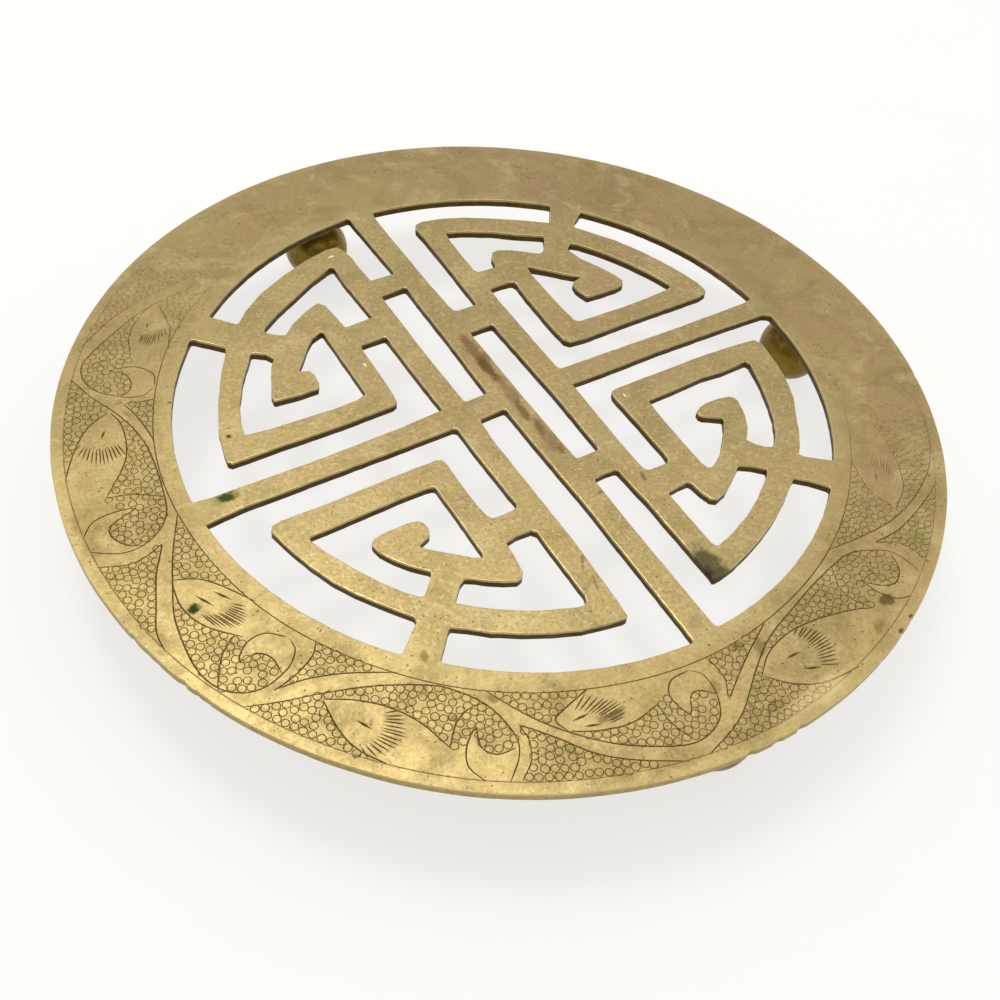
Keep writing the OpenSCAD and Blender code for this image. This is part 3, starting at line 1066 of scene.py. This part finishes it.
def new_group(name, values, masks):
    """A shader group that takes a place and some values, and gives masks."""
    tree = bpy.data.node_groups.new(name, "ShaderNodeTree")
    tree.interface.new_socket("Place", in_out="INPUT", socket_type="NodeSocketVector")
    for label, value in values.items():
        socket = tree.interface.new_socket(label, in_out="INPUT", socket_type="NodeSocketFloat")
        socket.default_value = value
    for label in masks:
        tree.interface.new_socket(label, in_out="OUTPUT", socket_type="NodeSocketFloat")
    start, end = tree.nodes.new("NodeGroupInput"), tree.nodes.new("NodeGroupOutput")
    return Nodes(tree), start.outputs, end.inputs


def pits_group():
    """Small dark pits and specks that old brass has all over."""
    make, given, end = new_group("pits_and_specks", {"Scale": 900, "Amount": 0.3}, ["Mask"])
    place, scale = given["Place"], given["Scale"]
    ragged = make.noise(place, make.times(scale, 2.6), 2, output="Color")
    pull = make.add("VectorMath", {0: ragged, "Scale": make.maths("DIVIDE", 0.55, scale)},
                    operation="SCALE")
    moved = make.vectors("ADD", place, pull.outputs[0])
    cells = make.add("TexVoronoi", {"Vector": moved, "Scale": scale}).outputs
    chance = make.add("SeparateColor", {0: cells["Color"]}).outputs
    gap = make.minus(make.times(chance[0], given["Amount"]), cells["Distance"])
    chosen = make.maths("GREATER_THAN", chance[1], 0.55)
    make.wire(make.times(make.ramped(gap, 0, 0.07), chosen), end["Mask"])
    return make.tree


def rubbing_group():
    """Fine crossing scratches from years of wiping and of pots."""
    make, given, end = new_group("rubbed_scratches", {"Turn": 0.5}, ["Mask"])
    total = 0
    for turn, size in ((0, 1), (1.1, 0.7), (2.3, 1.3)):
        spun = make.turned(given["Place"], make.plus(given["Turn"], turn))
        stretched = make.vectors("MULTIPLY", spun, (60 * size, 2600 * size, 300))
        lines = make.ramped(make.noise(stretched, 1, 3, 0.6), 0.62, 0.72)
        total = make.maths("MAXIMUM", total, lines)
    make.wire(total, end["Mask"])
    return make.tree


def tarnish_group():
    """Slow colour change of old brass: wide clouds and a fine mottle of its tone."""
    make, given, end = new_group("tarnish", {"Scale": 30}, ["Clouds", "Mottle"])
    place, scale = given["Place"], given["Scale"]
    wide = make.noise(place, scale, 4, 0.55, 0.6)
    fine = make.noise(place, make.times(scale, 9), 8, 0.65, 0.3)
    make.wire(make.ramped(wide, 0.3, 0.7), end["Clouds"])
    make.wire(make.ramped(fine, 0.38, 0.66), end["Mottle"])
    return make.tree


GROUPS = {"pits": pits_group(), "rubbing": rubbing_group(), "tarnish": tarnish_group()}


def new_material(name):
    material = bpy.data.materials.new(name)
    material.use_nodes = True
    material.node_tree.nodes.clear()
    make = Nodes(material.node_tree)
    return material, make, make.add("TexCoord").outputs["Object"]


def set_metal(make, colour, rough, normal):
    shader = make.add("BsdfPrincipled", {"Base Color": colour, "Metallic": 1,
                                         "Roughness": rough, "Normal": normal})
    make.add("OutputMaterial", {0: shader.outputs[0]})


# Patchy layers on the sheet's face: scale, detail, roughness and warp of the noise, the
# stretch of it that shows, and the layer's share and colour
PATCHES = {"brown": (210, 8, 0.72, 0.6, 0.58, 0.7, 0.4, (116, 94, 54)),
           "drab": (75, 7, 0.66, 0.8, 0.46, 0.6, 0.48, (134, 118, 74)),
           "pale": (110, 6, 0.7, 0.5, 0.52, 0.66, 0.36, (196, 178, 130))}


def face_colour(make, place, x, y, out, clouds, mottle):
    """Tarnish, patches and flecks of the upper face, with painted light across it; also gives the
    masks of the patches.
    """
    # How far towards the near, crisp side of the sheet a point lies, 0 to 1
    nearness = make.plus(make.times(x, math.cos(CRISP_SIDE) / PLATE_R),
                         make.times(y, math.sin(CRISP_SIDE) / PLATE_R))
    near = make.ramped(nearness, -0.3, 1)
    # Painted light: besides its random clouds, the face is a little paler and greener towards the
    # left and pinker brown towards the right.
    left = make.ramped(x, 0.9 * PLATE_R, -0.9 * PLATE_R)
    tone = make.plus(make.times(clouds, 0.6), make.times(left, 0.4))
    colour = make.mixed(tone, srgb(156, 131, 94), srgb(162, 146, 95))
    # Painted highlight: the face turns paler and yellower towards the near side, where the lamp's
    # glint falls.
    colour = make.mixed(near, colour, srgb(186, 164, 108))
    colour = make.tinted(colour, mottle, 0.35, (146, 124, 80))
    masks = {}
    for name, (scale, detail, rough, warp, low, high, share, tint) in PATCHES.items():
        masks[name] = make.ramped(make.noise(place, scale, detail, rough, warp), low, high)
        colour = make.tinted(colour, masks[name], share, tint)
    colour = make.tinted(colour, make.attribute("ground"), 0.22, (132, 116, 62))
    # Fine dark and light flecks, stronger on the fret and on the crisp side
    fret = make.ramped(out, FRET_R + 3 * MM, FRET_R - 3 * MM)
    fresh = make.plus(0.14, make.plus(make.times(near, 0.22), make.times(fret, 0.26)))
    dim = make.ramped(make.noise(place, 1500, 5, 0.68), 0.44, 0.66)
    colour = make.tinted(colour, dim, fresh, (122, 98, 54))
    light = make.ramped(make.noise(place, 1100, 5, 0.68), 0.5, 0.68)
    return make.tinted(colour, light, fresh, (206, 188, 138)), masks


def wall_patina_shade_and_reflection(make, place, out):
    """Dark patina with painted shade in the openings; brighter round the rim, a painted reflection
    of the pale floor.
    """
    saw = make.noise(place, 900, 2)
    # Painted shade with dark patina on the walls of the openings
    inner_patina_and_shade = make.mixed(saw, srgb(56, 42, 20), srgb(104, 84, 46))
    # Painted reflection of the pale floor on the outer rim wall
    outer = make.mixed(saw, srgb(150, 126, 74), srgb(196, 172, 112))
    return make.mixed(make.ramped(out, PLATE_R - MM, PLATE_R - 0.5 * MM), inner_patina_and_shade, outer)


def under_colour(make, clouds, patches, speck):
    """The underside, never polished again after the feet were soldered on."""
    colour = make.mixed(clouds, srgb(126, 104, 60), srgb(166, 144, 90))
    colour = make.tinted(colour, patches, 0.5, (104, 80, 44))
    return make.tinted(colour, speck, 0.8, (70, 52, 26))


# Colours of the marks; pale paints a highlight
STAIN_AND_HIGHLIGHT_COLOURS = {"green": (46, 66, 22), "black": (52, 46, 24), "slate": (94, 86, 58),
                 "moss": (126, 126, 62), "brown": (102, 82, 42), "rust": (118, 88, 58),
                 "blush": (158, 128, 100), "pale": (212, 194, 142),
                 "bright": (240, 226, 182)}
WIDE_STAIN = 1.9  # half width in millimetres above which a stain's edge is coarse
# Stains, burns and scratches of use, and a painted highlight where the front edge catches the light
# (the pale mark): colour, place on the sheet, half length, half width, turn in degrees and
# strength. Lengths are in millimetres.
STAINS_AND_HIGHLIGHT = [
    ("moss", -75.5, -23.4, 1.7, 1.5, 0, .5), ("green", -75.5, -23.4, 1.4, 1.2, 0, .95),
    ("moss", -61.2, -1.7, 3.2, 2.2, 0, .6), ("green", -61.2, -1.7, 2.4, 1.6, 0, .9),
    ("black", -55.3, 12.8, .8, .7, 0, .8),
    ("slate", 12.3, -53, 5.4, 3.7, 88, .95), ("slate", 11.8, -56.2, 3.4, 3.2, 0, .9),
    ("black", 11, -56, 2.4, 1.6, 60, .7), ("brown", 8.5, -50, 3, 1.6, 60, .4),
    ("moss", 24.7, 81.5, 3.2, 2, 160, .5), ("moss", 53.2, -66.4, 3.6, 2.2, 60, .5),
    ("blush", 56, -52, 11, 6, 50, .25), ("blush", 70, 14, 12, 8, 100, .25),
    ("blush", 42, 60, 9, 6, 130, .3), ("brown", 35.9, -81.9, 1, .6, 20, .9),
    ("brown", 39.6, -80.2, .8, .5, 20, .9), ("brown", 10.1, -73.2, 2.6, 1.5, 60, .55),
    ("brown", 6.4, -71.4, 1.7, 1.2, 20, .5), ("brown", 5.2, -84.5, 3.2, 1.6, 10, .4),
    ("brown", -2.2, -77, 2.2, 1.5, 60, .45), ("brown", 33, -79, 2.2, 1.2, 40, .4),
    ("brown", -70.8, 26.6, 1.8, .8, 120, .45), ("brown", -62.5, 26.3, .6, .4, 0, .8),
    ("brown", 38.1, -75.3, 2.4, 1.7, 20, .85), ("brown", -22.8, -73.4, 1.5, 1.1, 40, .5),
    ("brown", -37.7, -62, 1.6, 1, 130, .5), ("brown", -45.3, -62.4, 1.1, .8, 0, .5),
    ("brown", -44.1, -49.4, 1.4, 1, 60, .5),
    ("rust", .2, 13.5, 8, 2.1, 92, .75), ("brown", .2, 9.5, 5, 1.4, 96, .85),
    ("rust", .9, 1, 7, 2, 92, .55), ("brown", .8, -5, 4, 1.2, 88, .65),
    ("rust", 1.8, -12.5, 7, 2, 83, .5), ("brown", 1.6, -10, 3, 1.1, 86, .6),
    ("brown", 2.5, -17.3, 2, .9, 83, .55), ("brown", 13.6, -30.3, 1.7, .6, 75, .6),
    ("brown", 3.5, -30.3, .9, .6, 0, .5),
    ("slate", -8.5, -43.5, 2.6, .4, 60, .5), ("brown", -8.9, -48.5, 2.4, .35, 75, .5),
    # Painted highlight: the pale mark on the front edge, where the rim's bevel catches the light
    ("pale", 15.1, -85.7, 9, 3, 10, .55), ("brown", -15.1, -85.7, 7, 2.6, 170, .3),
    ("brown", -86.5, 1, 8, 2.6, 90, .3), ("bright", -14.5, 55.9, .9, .35, 10, .8),
    ("bright", -22.6, 20.6, .8, .3, 90, .7), ("bright", 22.6, -9.4, .9, .3, 90, .7),
]


def stain_mask(make, place, long, wide, turn, ragged):
    """Mask of one stain, burn or scratch: a ragged oval round the place's zero."""
    spun = make.turned(place, -math.radians(turn))
    oval = make.vectors("MULTIPLY", spun, (1 / (long * MM), 1 / (wide * MM), 1 / (wide * MM)))
    edge = make.plus(make.distance(oval), make.times(make.minus(ragged, 0.5), 1.7))
    return make.minus(1, make.ramped(edge, 0.4, 1.05), clamp=True)


def stained_and_highlighted(make, place, colour, above):
    """The colour with its stains and its painted highlight, and a mask of those stains that took
    the polish off.
    """
    fine, coarse = make.noise(place, 900, 5, 0.65), make.noise(place, 260, 5, 0.6)
    stained = 0
    for kind, x, y, long, wide, turn, strength in STAINS_AND_HIGHLIGHT:
        moved = make.vectors("SUBTRACT", place, (x * MM, y * MM, TOP_Z))
        mask = stain_mask(make, moved, long, wide, turn, coarse if wide > WIDE_STAIN else fine)
        mask = make.times(make.times(mask, strength), above)
        colour = make.mixed(mask, colour, srgb(*STAIN_AND_HIGHLIGHT_COLOURS[kind]))
        if kind not in ("bright", "blush", "pale"):
            stained = make.maths("MAXIMUM", mask, stained)
    return colour, stained


def sheet_brass():
    """Old brass, dark in its cuts, dark on its walls with patina and painted shade, bright on its
    rubbed edges, with painted light on its face.
    """
    material, make, place = new_material("sheet_brass")
    x, y, z = make.parts_of(place)
    out = make.distance(place)
    clouds, mottle = make.placed("tarnish", place, Scale=26)
    colour, masks = face_colour(make, place, x, y, out, clouds, mottle)
    pits = make.placed("pits", place, Scale=560, Amount=0.17)[0]
    colour = make.tinted(colour, pits, 0.55, (98, 76, 38))
    # Specks gather where moisture sat
    gathered = make.ramped(make.noise(place, 70, 3, 0.6), 0.38, 0.56)
    speck = make.times(make.placed("pits", place, Scale=1250, Amount=0.33)[0], gathered)
    colour = make.tinted(colour, speck, 0.75, (84, 62, 28))
    dark = make.ramped(make.attribute("cut"), 0.05, 0.75, "LINEAR")
    colour = make.tinted(colour, dark, 0.86, (66, 50, 24))
    worn = make.attribute("worn")
    colour = make.tinted(colour, worn, 0.5, (226, 206, 150))
    # Walls lie below the face, and the underside below the walls
    wall = make.ramped(make.minus(TOP_Z - 0.45 * MM, z), 0, 0.25 * MM)
    # The walls take patina with painted shade, and the outer rim wall a painted reflection
    colour = make.mixed(wall, colour, wall_patina_shade_and_reflection(make, place, out))
    under = make.ramped(z, UNDER_Z + 0.2 * MM, UNDER_Z + 0.04 * MM)
    colour = make.mixed(under, colour, under_colour(make, clouds, masks["drab"], speck))
    colour, stained = stained_and_highlighted(make, place, colour, make.minus(1, under))
    rough = 0.4
    for mask, more in ((mottle, 0.12), (dark, 0.2), (wall, 0.12), (worn, -0.08),
                       (stained, 0.25)):
        rough = make.maths("ADD", rough, make.times(mask, more), clamp=True)
    scratches = make.placed("rubbing", place, Turn=0.4)[0]
    normal = make.relief((make.noise(place, 160, 3), 0.2, 0.12),
                         (make.noise(place, 2600, 3, 0.6), 0.03, 0.45),
                         (scratches, -0.02, 0.35), (pits, -0.06, 0.6))
    set_metal(make, colour, rough, normal)
    return material


def foot_brass():
    """Browner brass than the sheet's, shiny from the lathe."""
    material, make, place = new_material("foot_brass")
    clouds, mottle = make.placed("tarnish", place, Scale=60)
    colour = make.mixed(clouds, srgb(116, 94, 36), srgb(136, 116, 52))
    colour = make.tinted(colour, mottle, 0.28, (92, 70, 30))
    pits = make.placed("pits", place, Scale=900, Amount=0.3)[0]
    colour = make.tinted(colour, pits, 0.5, (54, 38, 18))
    scratches = make.placed("rubbing", place, Turn=1)[0]
    normal = make.relief((make.noise(place, 500, 3), 0.03, 0.2), (scratches, -0.02, 0.3))
    set_metal(make, colour, make.plus(0.3, make.times(mottle, 0.12)), normal)
    return material


def soft_solder():
    """Grey solder, pitted and dull."""
    material, make, place = new_material("soft_solder")
    clouds, mottle = make.placed("tarnish", place, Scale=200)
    colour = make.mixed(clouds, srgb(120, 116, 104), srgb(164, 161, 150))
    pits = make.placed("pits", place, Scale=1500, Amount=0.45)[0]
    colour = make.tinted(colour, pits, 0.8, (60, 56, 46))
    normal = make.relief((make.noise(place, 1500, 4, 0.6), 0.06, 0.5))
    set_metal(make, colour, make.plus(0.42, make.times(mottle, 0.22)), normal)
    return material


# How far the sheet of paper looks over-lit, as it does beside the dark metal
FLOOR_GLOW = 0.72
FLOOR_HALF = 2  # metres


def floor_paper():
    """Plain white sweep: pale, with the object's shadow kept."""
    material, make, place = new_material("floor_paper")
    fleck = make.noise(place, 40, 3)
    colour = make.mixed(fleck, (0.91, 0.902, 0.87, 1), (0.94, 0.932, 0.905, 1))
    paper = make.add("BsdfPrincipled", {"Base Color": colour, "Roughness": 0.9,
                                        "Specular IOR Level": 0.1})
    glow = make.add("Emission", {"Color": (1, 0.996, 0.975, 1), "Strength": 1})
    blend = make.add("MixShader", {0: make.times(make.seen_plain(), FLOOR_GLOW),
                                   1: paper.outputs[0], 2: glow.outputs[0]})
    make.add("OutputMaterial", {0: blend.outputs[0]})
    return material


def make_floor():
    mesh = bpy.data.meshes.new("floor")
    corners = [(x * FLOOR_HALF, y * FLOOR_HALF, 0)
               for x, y in ((-1, -1), (1, -1), (1, 1), (-1, 1))]
    mesh.from_pydata(corners, [], [(0, 1, 2, 3)])
    mesh.materials.append(floor_paper())
    link_object("floor", mesh)


def make_camera():
    data = bpy.data.cameras.new("camera")
    data.lens = CAMERA_LENS
    data.sensor_width = CAMERA_SENSOR
    data.clip_start = CAMERA_CLIP
    camera = link_object("camera", data)
    camera.location = CAMERA_PLACE
    camera.rotation_euler = CAMERA_TURN
    bpy.context.scene.camera = camera


# Each lamp's place and width, and its power in watts
LAMPS = {"window": ((-0.05, 0.34, 1.1), 0.42, 4.1), "fill": ((0.8, 0.2, 0.8), 0.6, 0.36)}


def make_lamp(name, place, size, power):
    """A round lamp that faces the middle of the floor."""
    data = bpy.data.lights.new(name, "AREA")
    data.shape = "DISK"
    data.size = size
    data.energy = power
    lamp = link_object(name, data)
    lamp.location = place
    lamp.rotation_euler = (-Vector(place)).to_track_quat("-Z", "Y").to_euler()


def make_world():
    """A white room, brighter overhead, that the camera sees as plain white."""
    world = bpy.data.worlds.new("studio")
    bpy.context.scene.world = world
    world.use_nodes = True
    world.node_tree.nodes.clear()
    make = Nodes(world.node_tree)
    x, y, z = make.parts_of(make.add("TexCoord").outputs["Generated"])
    up = make.ramped(z, 0.15, 1)
    # The room is darker on the camera's side
    camera_side = make.plus(make.times(x, -0.56), make.times(y, -0.83))
    shade = make.times(make.ramped(camera_side, -0.1, 0.8), 0.55)
    light = make.times(make.plus(0.52, make.times(up, 0.62)), make.minus(1, shade))
    room = make.add("Background", {"Color": (1, 1, 1, 1), "Strength": light})
    plain = make.add("Background", {"Color": (1, 1, 1, 1), "Strength": 1})
    mix = make.add("MixShader", {0: make.seen_plain(), 1: room.outputs[0],
                                 2: plain.outputs[0]})
    make.add("OutputWorld", {0: mix.outputs[0]})


def install(piece, node, metal):
    """Give a piece its metal, in the place of the frame's plain solid."""
    piece.data.materials.append(metal)
    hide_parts(node)
    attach(piece, "root")


make_camera()
make_world()
for name, (place, size, power) in LAMPS.items():
    make_lamp(name, place, size, power)
make_floor()

install(make_plate(), "pierced_plate", sheet_brass())
foot_metal, solder_metal = foot_brass(), soft_solder()
for seed, side in enumerate(("back", "right", "front", "left"), 1):
    install(make_foot("foot_" + side), "foot_" + side, foot_metal)
    install(make_solder("solder_" + side, seed), "solder_" + side, solder_metal)

bpy.context.scene.view_settings.view_transform = "Standard"
